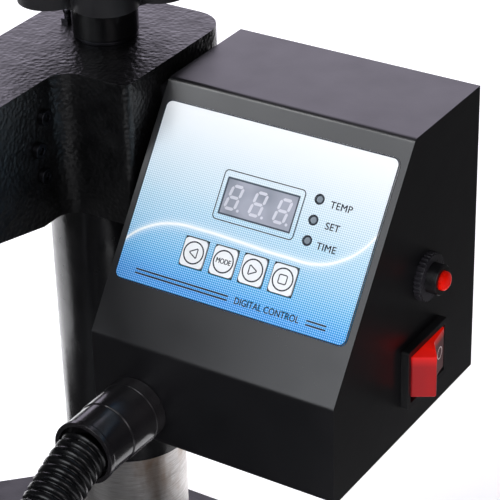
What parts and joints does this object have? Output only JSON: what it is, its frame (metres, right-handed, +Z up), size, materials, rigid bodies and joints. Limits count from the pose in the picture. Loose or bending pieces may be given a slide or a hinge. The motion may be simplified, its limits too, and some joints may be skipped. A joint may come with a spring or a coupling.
{
  "type": "mug heat press",
  "caption": "Bench heat press for mugs: swing arm on a steel column, lever-driven curved jaw over a saddle, sheet-steel control box.",
  "frame": {"origin": "middle of the whole machine's footprint, on the bench surface", "axes": "+Z up along the column, +Y towards the back, +X towards the control box"},
  "size_m": [0.2684, 0.332, 0.494],
  "materials": {
    "black_plate": "semi-gloss black powder coat",
    "foot_rubber": "matt moulded rubber",
    "bolt_steel": "turned and zinc plated",
    "black_bolt": "black oxide",
    "greased_steel": "ground and lightly greased",
    "bronze": "machined",
    "hammer_paint": "gloss black hammer-finish paint",
    "stainless": "brushed",
    "silicone": "fabric-textured dark silicone",
    "sleeve_paint": "satin black paint",
    "nipple_chrome": "dark plated",
    "box_paint": "satin black fine-texture powder coat",
    "overlay_film": "printed polycarbonate film",
    "window_film": "smoked polycarbonate",
    "module_plastic": "moulded",
    "light_lens": "tinted lens",
    "circuit_board": "solder mask",
    "transformer_lacquer": "lacquered laminations",
    "relay_plastic": "moulded",
    "black_nylon": "moulded",
    "red_plastic": "moulded translucent red",
    "gland_plastic": "glossy moulded nylon",
    "knob_plastic": "moulded, fine grain",
    "forged_steel": "blackened",
    "spring_steel": "drawn wire",
    "lever_zinc": "zinc plated",
    "grip_rubber": "ribbed rubber",
    "key_film": "printed film",
    "reset_red": "moulded",
    "hose_plastic": "corrugated polyamide"
  },
  "bodies": {
    "base": {"base_plate": "black_plate", "feet": "foot_rubber", "foot_bolts": "bolt_steel", "post_flange": "black_plate", "flange_bolts": "black_bolt", "post": "greased_steel", "post_nut": "bronze", "pedestal": "black_plate", "pedestal_bolts": "black_bolt", "lower_saddle": "hammer_paint", "lower_shell": "stainless", "lower_pad": "silicone"},
    "lift": {"thrust_bush": "black_bolt"},
    "arm": {"sleeve": "sleeve_paint", "arm_casting": "hammer_paint", "side_screws": "black_bolt", "grease_nipple": "nipple_chrome", "box_bracket": "box_paint", "box_shell": "box_paint", "box_cover": "box_paint", "cover_screws": "black_bolt", "overlay": "overlay_film", "display_window": "window_film", "display_module": "module_plastic", "indicator_lights": "light_lens", "control_board": "circuit_board", "transformer": "transformer_lacquer", "relay": "relay_plastic", "mains_inlet": "black_nylon", "breaker_body": "black_nylon", "breaker_nut": "black_nylon", "rocker_bezel": "black_nylon", "gland_body": "gland_plastic", "gland_nut": "gland_plastic", "gland_locknut": "gland_plastic", "return_spring": "spring_steel", "hose": "hose_plastic"},
    "knob": {"knob": "knob_plastic", "knob_collar": "sleeve_paint", "spindle": "bolt_steel", "knob_cap": "knob_plastic"},
    "ram": {"ram": "greased_steel", "ram_flange": "black_plate", "flange_screws": "black_bolt", "yoke": "forged_steel", "upper_saddle": "hammer_paint", "upper_shell": "stainless", "upper_heater": "silicone", "terminal_cover": "box_paint"},
    "lever": {"lever_shaft": "bolt_steel", "crank_pin": "bolt_steel", "lever_handle": "lever_zinc", "lever_grip": "grip_rubber", "lever_nuts": "bolt_steel"},
    "key_left": {"key_left": "key_film"},
    "key_mode": {"key_mode": "key_film"},
    "key_right": {"key_right": "key_film"},
    "key_stop": {"key_stop": "key_film"},
    "reset_button": {"reset_button": "reset_red"},
    "rocker": {"rocker": "red_plastic"}
  },
  "joints": [
    {"name": "lift", "type": "slide", "parent": "base", "child": "lift", "axis": [0, 0, 1], "range_m": [-0.003, 0.003]},
    {"name": "swing", "type": "hinge", "parent": "lift", "child": "arm", "pos_m": [-0.01923, 0.114, 0.25], "axis": [0, 0, 1], "range_deg": [-110, 110]},
    {"name": "knob_turn", "type": "hinge", "parent": "lift", "child": "knob", "pos_m": [-0.01923, 0.114, 0.3], "axis": [0, 0, 1], "range_deg": [-360, 360]},
    {"name": "lever_turn", "type": "hinge", "parent": "arm", "child": "lever", "pos_m": [-0.03424, -0.078, 0.303], "axis": [1, 0, 0], "range_deg": [0, 90]},
    {"name": "ram_slide", "type": "slide", "parent": "arm", "child": "ram", "axis": [0, 0, -1], "range_m": [0, 0.0298], "deforming": ["return_spring"]},
    {"name": "key_left_press", "type": "slide", "parent": "arm", "child": "key_left", "axis": [0, 0.8114, -0.5845], "range_m": [0, 0.0004], "stiffness_N_per_m": 800, "springref_m": -0.0004},
    {"name": "key_mode_press", "type": "slide", "parent": "arm", "child": "key_mode", "axis": [0, 0.8114, -0.5845], "range_m": [0, 0.0004], "stiffness_N_per_m": 800, "springref_m": -0.0004},
    {"name": "key_right_press", "type": "slide", "parent": "arm", "child": "key_right", "axis": [0, 0.8114, -0.5845], "range_m": [0, 0.0004], "stiffness_N_per_m": 800, "springref_m": -0.0004},
    {"name": "key_stop_press", "type": "slide", "parent": "arm", "child": "key_stop", "axis": [0, 0.8114, -0.5845], "range_m": [0, 0.0004], "stiffness_N_per_m": 800, "springref_m": -0.0004},
    {"name": "reset_press", "type": "slide", "parent": "arm", "child": "reset_button", "axis": [-1, 0, 0], "range_m": [0, 0.002], "stiffness_N_per_m": 600, "springref_m": -0.001},
    {"name": "rocker_tilt", "type": "hinge", "parent": "arm", "child": "rocker", "pos_m": [0.12326, 0.1085, 0.1822], "axis": [0, 0, 1], "range_deg": [-22, 0]}
  ],
  "couplings": [
    {"joint": "knob_turn", "follows": "lift", "rad_per_m": 2094.4},
    {"joint": "ram_slide", "follows": "lever_turn", "m_per_rad": 0.018908}
  ]
}
